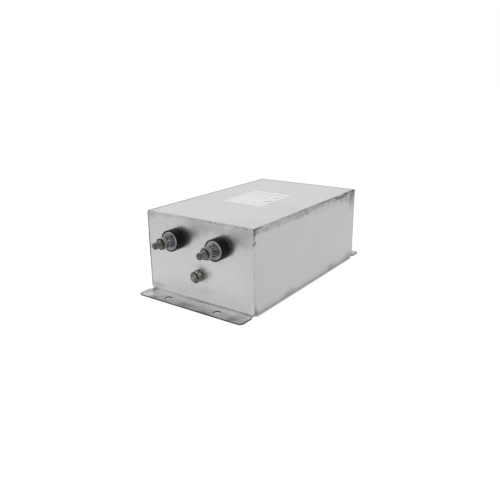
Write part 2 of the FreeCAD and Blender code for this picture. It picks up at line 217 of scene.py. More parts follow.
    def blot(self, u, v, rough, marks):
        """Soft uneven marks. Each is (u, v, half length, half height, strength)."""
        out = None
        for cu, cv, ru, rv, k in marks:
            du, dv = self.mul(self.sub(u, cu), 1.0 / ru), self.mul(self.sub(v, cv), 1.0 / rv)
            d = self.math("SQRT", self.add(self.mul(du, du), self.mul(dv, dv)))
            d = self.add(d, rough)
            m = self.ramp(d, 1.25, 0.25, 0.0, k)
            out = m if out is None else self.math("MAXIMUM", out, m)
        return out

    def rect(self, u0, u1, v0, v1, u, v, soft=0.12):
        """1 inside a rectangle in (u, v)."""
        a = self.mul(self.ramp(u, u0 - soft, u0 + soft), self.ramp(u, u1 + soft, u1 - soft))
        b = self.mul(self.ramp(v, v0 - soft, v0 + soft), self.ramp(v, v1 + soft, v1 - soft))
        return self.mul(a, b)


# ------------------------------------------------------------------ materials
def seam_shadow_and_stain(g, along, below):
    """Darkening under a long top seam: a wandering dark line of painted shadow in the gap under the top sheet's edge,
    and a broad grey stain below it.
    """
    ragged = g.noise(0.15, 3.0, 0.6)
    fine = g.noise(0.30, 5.0, 0.78, vec=g.stretch(1.0, 0.42, 1.0))
    flake = g.noise(0.50, 3.0, 0.6, vec=g.stretch(1.0, 0.38, 1.0, (3, 5, 1)))
    far = g.span(along, 188.0, 262.0, 8.0)
    corner = g.span(along, -20.0, 8.0, 5.0)
    dip = g.span(along, 192.0, 215.0, 9.0)
    centre = g.add(g.add(0.9, g.mul(dip, 2.9)), g.mul(g.span(along, 36.0, 50.0, 6.0), 1.9))
    centre = g.add(centre, g.mul(g.sub(ragged, 0.5), 4.6))
    half = g.add(0.85, g.mul(far, 1.15))
    k = g.add(g.add(0.27, g.mul(far, 0.30)), g.mul(corner, 0.14))
    k = g.mul(k, g.lerp(far, g.ramp(fine, 0.30, 0.62, 0.55, 1.20), g.ramp(fine, 0.34, 0.60, 0.82, 1.15)))
    # the painted shadow line fades in places along the seam
    fade = g.sub(1.0, g.mul(g.span(along, 14.0, 88.0, 4.0), 0.76))
    fade = g.sub(fade, g.mul(g.span(along, 109.0, 128.0, 4.0), 0.88))
    fade = g.sub(fade, g.mul(g.span(along, 223.0, 233.0, 3.0), 0.35))
    fade = g.add(fade, g.mul(g.span(along, 92.0, 106.0, 3.0), 0.30))
    fade = g.add(fade, g.mul(g.span(along, 137.0, 190.0, 5.0), 0.38))
    k = g.mul(k, fade)
    line = g.mul(k, g.ramp(g.math("ABSOLUTE", g.sub(below, centre)), g.add(half, 0.9), g.mul(half, 0.5)))
    depth = g.add(g.add(10.0, g.mul(g.sub(ragged, 0.5), 13.0)), g.mul(g.span(along, 220.0, 262.0, 8.0), 5.0))
    depth = g.sub(depth, g.mul(g.span(along, 130.0, 186.0, 10.0), 3.0))
    kb = g.add(0.20, g.mul(g.add(g.span(along, 234.0, 262.0, 5.0), corner), 0.16))
    kb = g.add(kb, g.mul(g.span(along, 84.0, 124.0, 8.0), 0.10))
    kb = g.mul(kb, g.ramp(fine, 0.36, 0.62, 0.35, 1.60))
    kb = g.add(kb, g.mul(g.ramp(flake, 0.56, 0.66), 0.20))
    broad = g.mul(kb, g.ramp(below, depth, g.mul(depth, 0.55)))
    clean = g.mul(dip, g.ramp(g.sub(below, centre), -0.2, -1.4))
    broad = g.mul(broad, g.sub(1.0, clean))
    haze = g.add(g.mul(g.span(along, 128.0, 192.0, 6.0), 0.11), g.mul(g.span(along, 200.0, 224.0, 4.0), 0.17))
    haze = g.mul(haze, g.mul(g.ramp(below, 17.0, 8.0), g.ramp(fine, 0.36, 0.62, 0.6, 1.3)))
    return g.sub(1.0, g.mul(g.mul(g.sub(1.0, line), g.sub(1.0, broad)), g.sub(1.0, haze)))


def plated_sheet():
    g = Graph("plated_sheet")
    nx, ny, nz = g.normal
    side = g.ramp(g.math("ABSOLUTE", nx), 0.6, 0.8)
    front = g.ramp(g.math("ABSOLUTE", ny), 0.6, 0.8)
    top = g.ramp(nz, 0.6, 0.8)
    ax, ay = g.math("ABSOLUTE", g.x), g.math("ABSOLUTE", g.y)
    below = g.sub(HEIGHT, g.z)
    along = g.add(HALF_L, g.mul(g.y, g.math("SIGN", g.x)))
    across = g.mul(g.x, g.mul(g.math("SIGN", g.y), -1.0))
    foot = g.mul(g.ramp(g.z, 3.2, 2.2), g.ramp(ay, HALF_L - 0.3, HALF_L + 0.3))
    out = g.sub(ay, HALF_L)

    cloud = g.noise(0.016, 3.0, 0.5)
    patch = g.noise(0.07, 4.0, 0.6)
    grain = g.noise(1.4, 2.0, 0.6)
    rolled = g.noise(0.35, 3.0, 0.65, vec=g.stretch(1.0, 0.03, 1.0))
    wander = g.noise(0.055, 4.0, 0.62)
    mottle = g.noise(0.42, 4.0, 0.7)
    ragged = g.noise(0.16, 3.0, 0.6)
    uneven = g.mul(g.sub(g.noise(0.13, 5.0, 0.68), 0.5), 2.2)

    # painted light: the plating tone is chosen by which way the face points
    tone = g.lerp(side, g.lerp(front, BASE_TOP_LIT, BASE_FRONT_LIT), BASE_SIDE_SHADED)
    spread = g.add(g.mul(g.sub(cloud, 0.5), 0.05), g.mul(g.sub(patch, 0.5), 0.03))
    spread = g.add(spread, g.add(g.mul(g.sub(grain, 0.5), 0.012), g.mul(g.sub(rolled, 0.5), 0.015)))
    tone = g.add(tone, spread)
    # painted reflection: the foot is painted brighter beside the wall, where it mirrors the wall, and duller at its
    # front and in a wedge at its left end
    foot_reflection = g.ramp(out, 0.0, 22.0, FOOT_REFLECT_NEAR, FOOT_REFLECT_FAR)
    foot_reflection = g.lerp(g.mul(g.ramp(across, -62.0, -70.0), g.ramp(g.add(out, across), -46.0, -56.0)), foot_reflection, 0.80)
    tone = g.mul(tone, g.lerp(g.mul(foot, top), 1.0, foot_reflection))
    # painted shade: the end walls are darker toward the top and slightly toward the right
    shade = g.add(g.ramp(g.z, 25.0, 90.0, 1.01, 0.90), g.ramp(across, -60.0, 60.0, 0.0, -0.015))
    tone = g.mul(tone, g.lerp(front, 1.0, shade))

    # painted shadow in the gap under the long top seams, with heat stain and grinding marks below it
    seam = g.mul(side, seam_shadow_and_stain(g, along, below))
    side_marks = g.mul(side, g.blot(along, g.z, uneven, (
        (75.0, 3.0, 16.0, 7.0, 0.22), (182.0, 4.0, 16.0, 7.0, 0.24), (238.0, 4.0, 20.0, 9.0, 0.26),
        (239.0, 87.0, 17.0, 12.0, 0.32), (3.6, 2.5, 4.2, 9.5, 0.45), (1.0, 95.0, 4.5, 9.0, 0.42),
        (3.0, 83.7, 2.7, 2.1, 0.60),
    )))
    # the long sides are darker towards the bottom, with a painted contact shadow line along their lower edge
    low = g.mul(side, g.mul(g.ramp(g.z, 11.0, 1.0), g.ramp(wander, 0.30, 0.62, 0.55, 1.0)))
    contact_shadow_line = g.mul(side, g.mul(g.ramp(g.z, 2.6, 1.0), g.ramp(along, 20.0, 60.0, 0.5, 1.0)))

    # stain along the folds between the end walls and the top
    fold = g.math("MAXIMUM", below, g.sub(HALF_L, ay))
    fold_w = g.add(1.1, g.mul(g.ramp(ragged, 0.35, 0.65), 1.3))
    fold_m = g.mul(g.ramp(fold, g.add(fold_w, 0.8), g.mul(fold_w, 0.4)), g.ramp(across, -60.0, 10.0, 0.55, 1.0))
    fold_m = g.mul(fold_m, g.ramp(mottle, 0.25, 0.55, 0.4, 1.0))

    # stain along the upright edges of the end walls and the long edges of the top, and a painted highlight low on one
    # upright edge
    edge = g.sub(HALF_W, ax)
    edge_w = g.add(1.1, g.mul(g.ramp(ragged, 0.42, 0.68), 0.9))
    left_edge = g.mul(front, g.mul(g.ramp(across, -70.0, -72.0), g.ramp(edge, g.add(edge_w, 0.6), g.mul(edge_w, 0.5))))
    left_edge = g.mul(left_edge, g.add(0.85, g.mul(g.span(g.z, 40.0, 76.0, 5.0), 0.75)))
    edge_m = g.mul(g.add(front, top), g.mul(g.ramp(edge, 1.3, 0.5), g.ramp(ragged, 0.35, 0.62, 0.3, 1.0)))
    clean = g.span(g.z, 18.0, 80.0, 5.0)
    edge_m = g.mul(edge_m, g.sub(1.0, g.mul(g.mul(front, g.ramp(across, -10.0, 10.0)), g.mul(clean, 0.75))))
    # painted highlight: a lighter strip along the right upright edge of each end wall, near the bottom
    edge_glint = g.mul(front, g.mul(g.ramp(across, 73.0, 75.0), g.span(g.z, 1.5, 16.0, 1.5)))
    tone = g.mul(tone, g.add(1.0, g.mul(edge_glint, 0.12)))
    up_edge = g.mul(side, g.ramp(g.sub(HALF_L, ay), g.add(g.mul(edge_w, 1.6), 1.6), g.mul(edge_w, 0.5)))
    up_edge = g.mul(up_edge, g.ramp(g.noise(0.05, 3.0), 0.40, 0.60, 0.55, 1.0))
    up_edge = g.mul(up_edge, g.sub(1.0, g.mul(g.span(g.z, 38.0, 80.0, 5.0), 0.5)))
    top_marks = g.mul(top, g.mul(g.sub(1.0, foot), g.blot(along, ax, uneven, (
        (210.0, 78.0, 30.0, 6.0, 0.12), (238.0, 76.0, 14.0, 6.0, 0.16), (120.0, 78.5, 60.0, 3.0, 0.10),
        (12.0, 77.0, 14.0, 4.0, 0.14),
    ))))

    rims = g.mul(top, g.mul(g.sub(1.0, foot), g.math("MAXIMUM",
        g.mul(g.ramp(g.y, HALF_L - 14.0, HALF_L - 5.0), 0.62), g.mul(g.ramp(g.x, 6.0 - HALF_W, 2.5 - HALF_W), 0.9))))

    # grey smears on the end walls, a painted dark halo of shade round the earth stud, and a faint broad darkening near
    # the right edge
    front_marks = g.mul(front, g.blot(across, g.z, uneven, (
        (58.0, 91.0, 24.0, 11.0, 0.20), (24.0, 93.0, 26.0, 9.0, 0.19), (0.0, 94.0, 18.0, 8.0, 0.18),
        (68.0, 85.0, 13.0, 12.0, 0.16), (-72.0, 96.0, 10.0, 6.0, 0.24), (-50.0, 97.5, 22.0, 3.0, 0.12), (4.0, 37.0, 14.0, 13.0, 0.26), (12.0, 37.0, 8.0, 8.0, 0.22),
        (-68.0, 7.5, 14.0, 2.8, 0.24), (-4.0, 84.0, 14.0, 6.0, 0.09), (30.0, 56.0, 12.0, 6.0, 0.07),
        (70.0, 95.0, 12.0, 7.0, 0.22), (72.0, 42.0, 15.0, 34.0, 0.055),
    )))
    # painted shade in the crease where the end wall is folded out into the foot
    cz, cy = g.sub(g.z, 1.5), g.sub(out, 0.3)
    crease = g.math("SQRT", g.add(g.mul(cz, cz), g.mul(cy, cy)))
    crease = g.mul(g.ramp(crease, 1.45, 0.65), g.ramp(across, -50.0, 0.0, 0.75, 1.0))
    crease = g.mul(crease, g.ramp(g.z, 1.0, 1.15))

    # streaks on the feet, and their burred outline
    streak = g.noise(0.11, 4.0, 0.7, vec=g.stretch(0.5, 2.2, 1.0, (7, 3, 0)), distortion=0.8)
    foot_m = g.mul(foot, g.ramp(streak, 0.36, 0.70))
    foot_marks = g.mul(foot, g.blot(across, out, uneven, (
        (-55.0, 21.0, 8.0, 5.0, 0.45), (-6.0, 19.0, 13.0, 8.0, 0.42), (60.0, 19.0, 9.0, 8.0, 0.42),
        (24.0, 23.0, 14.0, 4.0, 0.28), (-36.0, 23.0, 12.0, 4.0, 0.30), (66.0, 6.0, 8.0, 8.0, 0.18),
    )))
    qx = g.math("MAXIMUM", g.sub(ax, HALF_W - FOOT_CORNER), 0.0)
    qy = g.math("MAXIMUM", g.sub(out, FOOT_OUT - FOOT_CORNER), 0.0)
    inset = g.sub(FOOT_CORNER, g.math("SQRT", g.add(g.mul(qx, qx), g.mul(qy, qy))))
    outline = g.mul(g.mul(foot, g.ramp(inset, 1.5, 0.6)), g.ramp(out, 2.0, 22.0, 0.85, 1.0))

    # sheared edges of the sheet
    raw = g.mul(side, g.math("MAXIMUM", g.ramp(below, SHEET + 0.1, SHEET - 0.1), g.ramp(g.sub(HALF_L, ay), SHEET + 0.1, SHEET - 0.1)))
    # the foot's upright cut edges: sheared edges, darkened further with painted shade
    rim = g.mul(g.ramp(out, 2.2, 3.0), g.ramp(nz, 0.7, 0.5))

    # painted shade on the walls of the foot holes
    hx, hy = g.sub(ax, 36.75), g.sub(out, 14.0)
    hole_wall_shade = g.ramp(g.math("SQRT", g.add(g.mul(hx, hx), g.mul(hy, hy))), 4.72, 4.55)
    hole_wall_shade = g.mul(hole_wall_shade, foot)

    dark = seam
    for m, k in ((side_marks, 1.0), (low, 0.20), (contact_shadow_line, 0.15), (fold_m, 0.50), (edge_m, 0.25), (left_edge, 0.64),
                 (up_edge, 0.20), (top_marks, 1.0), (front_marks, 1.0), (crease, 0.54), (foot_m, 0.17),
                 (foot_marks, 1.0), (outline, 0.58), (raw, 0.10), (rim, 0.78), (hole_wall_shade, 0.72), (rims, 0.32)):
        dark = g.sub(1.0, g.mul(g.sub(1.0, dark), g.sub(1.0, g.mul(m, k))))
    tone = g.mul(tone, g.sub(1.0, dark))
    color = g.grey(tone, (1.0, 1.0, 0.992))
    rough = g.add(0.27, g.mul(g.sub(patch, 0.5), 0.10))
    rough = g.add(rough, g.mul(g.sub(rolled, 0.5), 0.08))
    rough = g.add(rough, g.mul(dark, 0.25))
    wave = g.add(g.mul(g.noise(0.012, 1.0, 0.4), 24.0), g.add(g.mul(grain, 0.05), g.mul(rolled, 0.10)))
    g.bump(wave, 0.18, 0.001)
    # the lowest part of the end walls is scoured matte and hardly mirrors the foot
    matte = g.mul(g.mul(front, g.sub(1.0, foot)), g.ramp(g.z, 26.0, 12.0))
    return g.finish(color, rough, g.sub(1.0, g.mul(matte, 0.92)))


def weld_bead():
    """Ground welds: near the sheet's tone, with the painted shadow line of the long seam across them."""
    g = Graph("weld_bead")
    a = g.noise(0.30, 4.0, 0.7)
    b = g.noise(1.6, 3.0, 0.65)
    along = g.add(HALF_L, g.mul(g.y, g.math("SIGN", g.x)))
    below = g.sub(HEIGHT, g.z)
    tone = g.add(g.ramp(a, 0.36, 0.68, 0.40, 0.50), g.mul(g.sub(b, 0.5), 0.06))
    # painted shadow of the seam gap, with its grey stain, carried onto the beads near the top
    stain = g.mul(seam_shadow_and_stain(g, along, below), g.ramp(below, 12.0, 9.0, 0.0, 1.0))
    ends = g.blot(along, g.z, g.mul(g.sub(a, 0.5), 1.2), ((3.6, 2.5, 4.2, 9.5, 0.40), (1.0, 95.0, 4.5, 8.0, 0.42), (3.0, 84.8, 1.9, 1.9, 0.45)))
    dressed = g.math("MAXIMUM", g.mul(g.span(along, 14.0, 88.0, 4.0), 0.16), g.mul(g.span(along, 109.0, 128.0, 4.0), 0.17))
    dressed = g.math("MAXIMUM", dressed, g.mul(g.mul(g.ramp(along, 9.0, 6.0), g.span(g.z, 18.0, 80.0, 5.0)), 0.08))
    tone = g.mul(tone, g.add(1.0, dressed))
    tone = g.mul(tone, g.mul(g.sub(1.0, stain), g.sub(1.0, ends)))
    g.bump(g.add(a, g.mul(b, 0.4)), 0.4, 0.0004)
    return g.finish(g.grey(tone, (1.0, 0.99, 0.98)), g.ramp(b, 0.3, 0.7, 0.32, 0.50), 1.0)


def rating_plate():
    g = Graph("rating_plate")
    x, y = g.x, g.y
    paper = g.add(0.70, g.mul(g.sub(g.noise(0.05, 3.0), 0.5), 0.06))
    paper = g.add(paper, g.mul(g.sub(g.noise(2.2, 2.0), 0.5), 0.02))
    ink = None

    def over(m):
        nonlocal ink
        ink = m if ink is None else g.math("MAXIMUM", ink, m)

    # rows of short bars, with a different cut in every row
    def rows(x0, x1, y0, y1, pitch, fill, cell, strength):
        row = g.math("FLOOR", g.mul(y, 1.0 / pitch))
        part = g.math("FRACT", g.mul(y, 1.0 / pitch))
        bar = g.mul(g.ramp(part, 0.18, 0.26), g.ramp(part, 0.18 + fill, 0.10 + fill))
        n = g.nt.nodes.new("ShaderNodeCombineXYZ")
        g.put(n.inputs[0], g.math("FLOOR", g.mul(g.add(x, g.mul(row, 3.7)), 1.0 / cell)))
        g.put(n.inputs[1], row)
        w = g.nt.nodes.new("ShaderNodeTexWhiteNoise")
        w.noise_dimensions = "3D"
        g.nt.links.new(n.outputs[0], w.inputs["Vector"])
        word = g.math("GREATER_THAN", w.outputs["Value"], 0.28)
        gap = g.math("FRACT", g.mul(g.add(x, g.mul(row, 3.7)), 1.0 / cell))
        word = g.mul(word, g.ramp(gap, 0.90, 0.80))
        over(g.mul(g.mul(g.rect(x0, x1, y0, y1, x, y), g.mul(bar, word)), strength))

    rows(-29.0, 4.0, 21.0, 33.0, 3.6, 0.62, 7.0, 0.36)
    rows(-29.0, 9.0, -4.0, 15.0, 2.6, 0.50, 4.2, 0.26)
    rows(-29.0, -4.0, -32.0, -9.0, 2.9, 0.50, 5.1, 0.24)
    rows(2.0, 22.0, -32.0, -15.0, 2.4, 0.50, 3.4, 0.22)
    for x0, x1, y0, y1, k in (
        (-30.0, 23.0, 17.4, 17.8, 0.32),
        (-30.0, 23.0, -6.6, -6.2, 0.28),
        (-0.6, -0.2, -33.0, -6.4, 0.28),
        (-19.0, -13.4, 21.6, 27.0, 0.20),
        (7.0, 13.5, 25.0, 31.0, 0.30),
        (16.5, 22.0, 23.5, 31.0, 0.18),
        (-28.0, -25.2, -28.0, -25.2, 0.24),
    ):
        over(g.mul(g.rect(x0, x1, y0, y1, x, y), k))
    # two dark slanted bars
    for cx, cy, k in ((18.0, 12.9, 0.80), (19.3, -7.6, 0.86)):
        dx, dy = g.sub(x, cx), g.sub(y, cy)
        u = g.add(g.mul(dx, 0.64), g.mul(dy, 0.77))
        v = g.sub(g.mul(dy, 0.64), g.mul(dx, 0.77))
        over(g.mul(g.rect(-4.8, 4.8, -1.35, 1.35, u, v, 0.5), k))
    wear = g.ramp(g.noise(0.5, 3.0), 0.25, 0.6, 0.72, 1.0)
    ink = g.mul(ink, wear)
    tone = g.mul(paper, g.sub(1.0, g.mul(ink, 0.92)))
    # painted light: the plate's edges are painted lighter so they show no dark outline
    nz = g.normal[2]
    tone = g.mul(tone, g.ramp(nz, 0.3, 0.9, 1.25, 1.0))
    g.bump(g.noise(0.6, 2.0), 0.08, 0.0003)
    return g.finish(g.grey(tone, (1.0, 1.0, 0.995)), 0.55, 0.0, 0.35)


def black_insulator():
    g = Graph("black_insulator")
    a = g.noise(0.25, 4.0, 0.6)
    b = g.noise(2.5, 2.0, 0.6)
    tone = g.add(g.ramp(a, 0.3, 0.7, 0.0020, 0.0050), g.mul(g.ramp(b, 0.55, 0.8), 0.005))
    g.bump(g.add(g.mul(a, 0.4), g.mul(b, 0.5)), 0.10, 0.0004)
    return g.finish(g.grey(tone, (1.0, 0.98, 1.02)), g.ramp(a, 0.3, 0.7, 0.34, 0.50), 0.0, 0.11)


def plated_disc():
    """Turned face: fine rings round each terminal, with a painted highlight at the rim, painted light toward the upper
    left, and painted shade on the left-hand terminal of each end.
    """
    g = Graph("plated_disc")
    d = g.from_axis()
    rings = g.math("SINE", g.mul(d, 13.0))
    patch = g.noise(0.13, 4.0, 0.6)
    fleck = g.noise(1.1, 3.0, 0.7)
    tone = g.ramp(patch, 0.3, 0.7, 0.16, 0.34)
    # painted light: lighter toward the upper left, darker toward the lower right
    tone = g.add(tone, g.mul(g.ramp(g.add(g.x, g.sub(TERM_Z, g.z)), 20.0, 60.0, -0.4, 0.5), -0.10))
    tone = g.add(tone, g.mul(rings, 0.010))
    tone = g.add(tone, g.mul(g.ramp(fleck, 0.62, 0.78), 0.14))
    # painted shade: the left-hand terminal's disc is darker
    left = g.ramp(g.mul(g.x, g.mul(g.math("SIGN", g.y), -1.0)), 5.0, -5.0)
    tone = g.mul(tone, g.lerp(left, 1.0, 0.82))
    # painted highlight round the rim
    rim = g.ramp(d, 10.4, 10.8)
    tone = g.lerp(rim, tone, g.ramp(patch, 0.3, 0.7, 0.66, 0.90))
    g.bump(g.add(g.mul(rings, 0.10), g.mul(fleck, 0.4)), 0.10, 0.0003)
    return g.finish(g.grey(tone, (0.975, 0.975, 1.03)), g.ramp(patch, 0.3, 0.7, 0.42, 0.55), 1.0)


def plated_nut():
    """Smooth flats; faces in painted shade with a painted bright washer face inside a chamfer ring of painted shade,
    painted shade round the thread, and painted light on the right-hand outer nuts.
    """
    g = Graph("plated_nut")
    ay = g.math("ABSOLUTE", g.y)
    d = g.from_axis()
    a = g.noise(0.28, 3.0, 0.55)
    b = g.noise(1.7, 3.0, 0.6)
    clamp = g.mul(g.ramp(ay, 135.4, 136.0), g.ramp(ay, 143.4, 142.8))
    earth = g.ramp(ay, 133.0, 132.0)
    across = g.mul(g.x, g.mul(g.math("SIGN", g.y), -1.0))
    right = g.ramp(across, -5.0, 5.0)
    tone = g.lerp(clamp, g.ramp(a, 0.3, 0.7, 0.15, 0.34), g.ramp(a, 0.3, 0.7, 0.26, 0.42))
    rust = g.noise(0.50, 3.0, 0.65, vec=g.stretch(1.0, 1.0, 1.0, (2, 7, 4)))
    tone = g.mul(tone, g.lerp(earth, 1.0, g.ramp(rust, 0.40, 0.58, 0.42, 1.75)))
    # painted shade: the faces across the axis are darker than the flats
    face = g.ramp(g.math("ABSOLUTE", g.normal[1]), 0.55, 0.80)
    tone = g.mul(tone, g.sub(1.0, g.mul(face, 0.35)))
    # painted light on the washer face, painted shade on the chamfer ring round it
    ring = g.mul(g.ramp(d, 5.0, 5.5), g.lerp(clamp, g.ramp(d, 6.9, 6.4), 1.0))
    tone = g.mul(tone, g.lerp(face, 1.0, g.lerp(ring, 1.15, g.lerp(clamp, g.lerp(earth, 0.17, 0.45), g.lerp(right, 0.55, 0.05)))))
    # painted shade round the thread where the stud leaves the nut
    bore = g.ramp(d, g.lerp(earth, 4.05, 4.6), g.lerp(earth, 4.45, 5.0))
    tone = g.mul(tone, g.lerp(face, 1.0, g.lerp(bore, g.lerp(earth, g.lerp(right, 0.18, 0.30), 0.42), 1.0)))
    # painted light: the right-hand outer nuts are lighter
    tone = g.mul(tone, g.lerp(g.mul(right, g.sub(1.0, g.math("MAXIMUM", clamp, earth))), 1.0, 1.28))
    # behind the teeth of the lock washer: painted shadows at the right, painted glints at the left
    near = g.mul(clamp, g.ramp(ay, 140.2, 141.0))
    tooth_gap_shadows = g.mul(g.mul(near, right), g.ramp(g.round_terminal(14.0, -0.16), 0.1, -0.6))
    tone = g.mul(tone, g.sub(1.0, g.mul(tooth_gap_shadows, 0.88)))
    glints = g.mul(g.mul(near, g.sub(1.0, right)), g.ramp(g.round_terminal(10.6, 0.07), 0.20, 0.75))
    glints = g.mul(glints, g.ramp(g.z, TERM_Z + 5.8, TERM_Z + 4.8))
    tone = g.lerp(glints, tone, 1.0)
    # painted shade on the lower back half of the left-hand outer nuts
    rear_shade = g.mul(g.ramp(ay, 148.6, 147.0), g.sub(1.0, g.math("MAXIMUM", g.math("MAXIMUM", clamp, earth), right)))
    tone = g.mul(tone, g.lerp(g.mul(rear_shade, g.ramp(g.z, TERM_Z + 4.0, TERM_Z)), 1.0, 0.74))
    tone = g.add(tone, g.mul(g.ramp(b, 0.62, 0.78), 0.07))
    g.bump(g.add(g.mul(a, 0.4), g.mul(b, 0.25)), 0.12, 0.0003)
    tint = g.mix(clamp, (1.0, 1.0, 0.955), (0.975, 0.975, 1.03))
    n = g.nt.nodes.new("ShaderNodeVectorMath")
    n.operation = "SCALE"
    g.nt.links.new(tint, n.inputs[0])
    g.nt.links.new(tone, n.inputs["Scale"])
    return g.finish(n.outputs[0], g.ramp(b, 0.3, 0.7, 0.28, 0.42), 1.0)


def plated_stud():
    """Rolled thread with grime in its roots, a duller sheared end, and painted highlights on the earth studs."""
    g = Graph("plated_stud")
    d = g.from_axis()
    a = g.noise(0.35, 4.0, 0.62)
    b = g.noise(2.1, 3.0, 0.65)
    tone = g.ramp(a, 0.32, 0.68, 0.08, 0.17)
    face = g.ramp(g.math("ABSOLUTE", g.normal[1]), 0.85, 0.97)
    tone = g.mul(tone, g.lerp(face, g.ramp(d, 3.4, 3.9, 0.35, 1.25), 0.80))
    # painted highlight: the earth studs, and the hidden inner lengths of the power studs, are painted lighter in
    # patches
    tone = g.mul(tone, g.ramp(g.math("ABSOLUTE", g.y), 137.0, 136.0, 1.0, g.ramp(a, 0.35, 0.62, 1.2, 2.5)))
    tone = g.add(tone, g.mul(g.ramp(b, 0.62, 0.80), 0.08))
    g.bump(g.add(g.mul(a, 0.5), g.mul(b, 0.35)), 0.15, 0.0003)
    return g.finish(g.grey(tone, (1.0, 1.01, 0.95)), g.ramp(b, 0.3, 0.7, 0.32, 0.5), 1.0)


def dull_metal(name, low, high, tint, rough=(0.32, 0.5), fleck_gain=0.10, scale=0.35):
    g = Graph(name)
    a = g.noise(scale, 4.0, 0.62)
    b = g.noise(scale * 6.0, 3.0, 0.65)
    tone = g.ramp(a, 0.32, 0.68, low, high)
    tone = g.add(tone, g.mul(g.ramp(b, 0.60, 0.78), fleck_gain))
    g.bump(g.add(g.mul(a, 0.5), g.mul(b, 0.35)), 0.15, 0.0003)
    return g.finish(g.grey(tone, tint), g.ramp(b, 0.3, 0.7, rough[0], rough[1]), 1.0)


def spring_steel():
    """Lock washers: a smooth ring, and teeth with bright and dark faces; on the left-hand power terminals the bright
    teeth are painted glints.
    """
    g = Graph("spring_steel")
    d = g.from_axis()
    a = g.noise(0.28, 4.0, 0.6)
    b = g.noise(0.45, 2.0, 0.5)
    tone = g.ramp(a, 0.3, 0.7, 0.20, 0.34)
    right = g.ramp(g.mul(g.x, g.mul(g.math("SIGN", g.y), -1.0)), -5.0, 5.0)
    earth = g.ramp(g.math("ABSOLUTE", g.y), 133.0, 132.0)
    # painted glints on the teeth of the left-hand power terminals; random bright and dark teeth elsewhere
    tooth = g.lerp(right, g.mul(g.ramp(g.round_terminal(10.6, 0.07), 0.0, 0.6, 0.35, 1.0), g.ramp(g.z, TERM_Z + 5.8, TERM_Z + 4.8, 0.4, 1.0)), g.ramp(b, 0.40, 0.60, 0.50, 0.90))
    tooth = g.lerp(earth, tooth, g.ramp(b, 0.44, 0.54, 0.30, 1.0))
    tone = g.lerp(g.ramp(d, 5.9, 6.2), tone, tooth)
    g.bump(g.add(a, g.mul(b, 0.4)), 0.12, 0.0003)
    return g.finish(g.grey(tone, (0.98, 0.98, 1.03)), g.ramp(b, 0.3, 0.7, 0.26, 0.42), 1.0)


def plain(name, first, second, rough=(0.45, 0.6), metallic=0.0, scale=0.12, specular=0.4, bump=0.1):
    """A moulded or coated surface of two near colours, with a fine grain."""
    g = Graph(name)
    a = g.noise(scale, 4.0, 0.6)
    b = g.noise(scale * 14.0, 2.0, 0.6)
    f = g.add(g.mul(g.ramp(a, 0.3, 0.7), 0.75), g.mul(g.ramp(b, 0.35, 0.65), 0.25))
    g.bump(g.add(g.mul(a, 0.5), g.mul(b, 0.3)), bump, 0.0004)
    return g.finish(g.mix(f, first, second), g.ramp(b, 0.3, 0.7, rough[0], rough[1]), metallic, specular)


def wound_core():
    g = Graph("choke_core")
    r = g.math("SQRT", g.add(g.mul(g.x, g.x), g.mul(g.y, g.y)))
    layer = g.math("SINE", g.mul(r, 9.0))
    a = g.noise(0.2, 3.0)
    tone = g.add(g.ramp(a, 0.3, 0.7, 0.16, 0.26), g.mul(layer, 0.03))
    g.bump(layer, 0.2, 0.0002)
    return g.finish(g.grey(tone, (1.0, 1.0, 1.04)), 0.4, 1.0)


MATS = {
    "plated_sheet": plated_sheet(),
    "weld_bead": weld_bead(),
    "rating_plate": rating_plate(),
    "black_insulator": black_insulator(),
    "plated_stud": plated_stud(),
    "plated_disc": plated_disc(),
    "plated_nut": plated_nut(),
    "spring_steel": spring_steel(),
    "inner_bushing": plain("inner_bushing", (0.010, 0.010, 0.011), (0.030, 0.030, 0.030), specular=0.3),
    "inner_steel": dull_metal("inner_steel", 0.30, 0.50, (1.0, 1.0, 0.97)),
    "copper_bar": plain("copper_bar", (0.60, 0.27, 0.15), (0.42, 0.17, 0.09), (0.25, 0.42), 1.0, 0.08),
    "choke_core": wound_core(),
    "choke_shell": plain("choke_shell", (0.020, 0.050, 0.110), (0.035, 0.075, 0.150)),
    "enamelled_wire": plain("enamelled_wire", (0.33, 0.095, 0.030), (0.46, 0.150, 0.050), (0.18, 0.3), 0.6, 0.3),
    "choke_frame": plain("choke_frame", (0.50, 0.48, 0.40), (0.60, 0.57, 0.49)),
    "x_capacitor": plain("x_capacitor", (0.60, 0.52, 0.05), (0.68, 0.60, 0.09)),
    "y_capacitor": plain("y_capacitor", (0.015, 0.075, 0.26), (0.030, 0.110, 0.34)),
    "resistor": plain("resistor", (0.24, 0.33, 0.21), (0.32, 0.42, 0.28)),
    "liner": plain("liner", (0.44, 0.41, 0.31), (0.55, 0.51, 0.40), (0.7, 0.85)),
    "resin": plain("resin", (0.010, 0.010, 0.010), (0.028, 0.027, 0.025), (0.2, 0.45)),
}

slot_of = {s["node"]: s["material_slot"] for s in frame["record"]["subparts"]}
for name, obj in NODES.items():
    obj.data.materials.clear()
    obj.data.materials.append(MATS[slot_of[name]])


# ---------------------------------------------------------------- mesh pieces
def mesh_piece(name, verts, faces, slot, replaced=None, smooth_angle=35.0):
    """A new piece in the row frame. The points are in millimetres."""
    me = bpy.data.meshes.new(name)
    me.from_pydata([tuple(c * MM for c in v) for v in verts], [], faces)
    me.validate()
    me.update()
    obj = bpy.data.objects.new(name, me)
    scene.collection.objects.link(obj)
    me.materials.append(MATS[slot])
    me.shade_smooth()
    me.set_sharp_from_angle(angle=math.radians(smooth_angle))
    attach(obj, "root")
    if replaced:
        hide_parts(*replaced)
    return obj


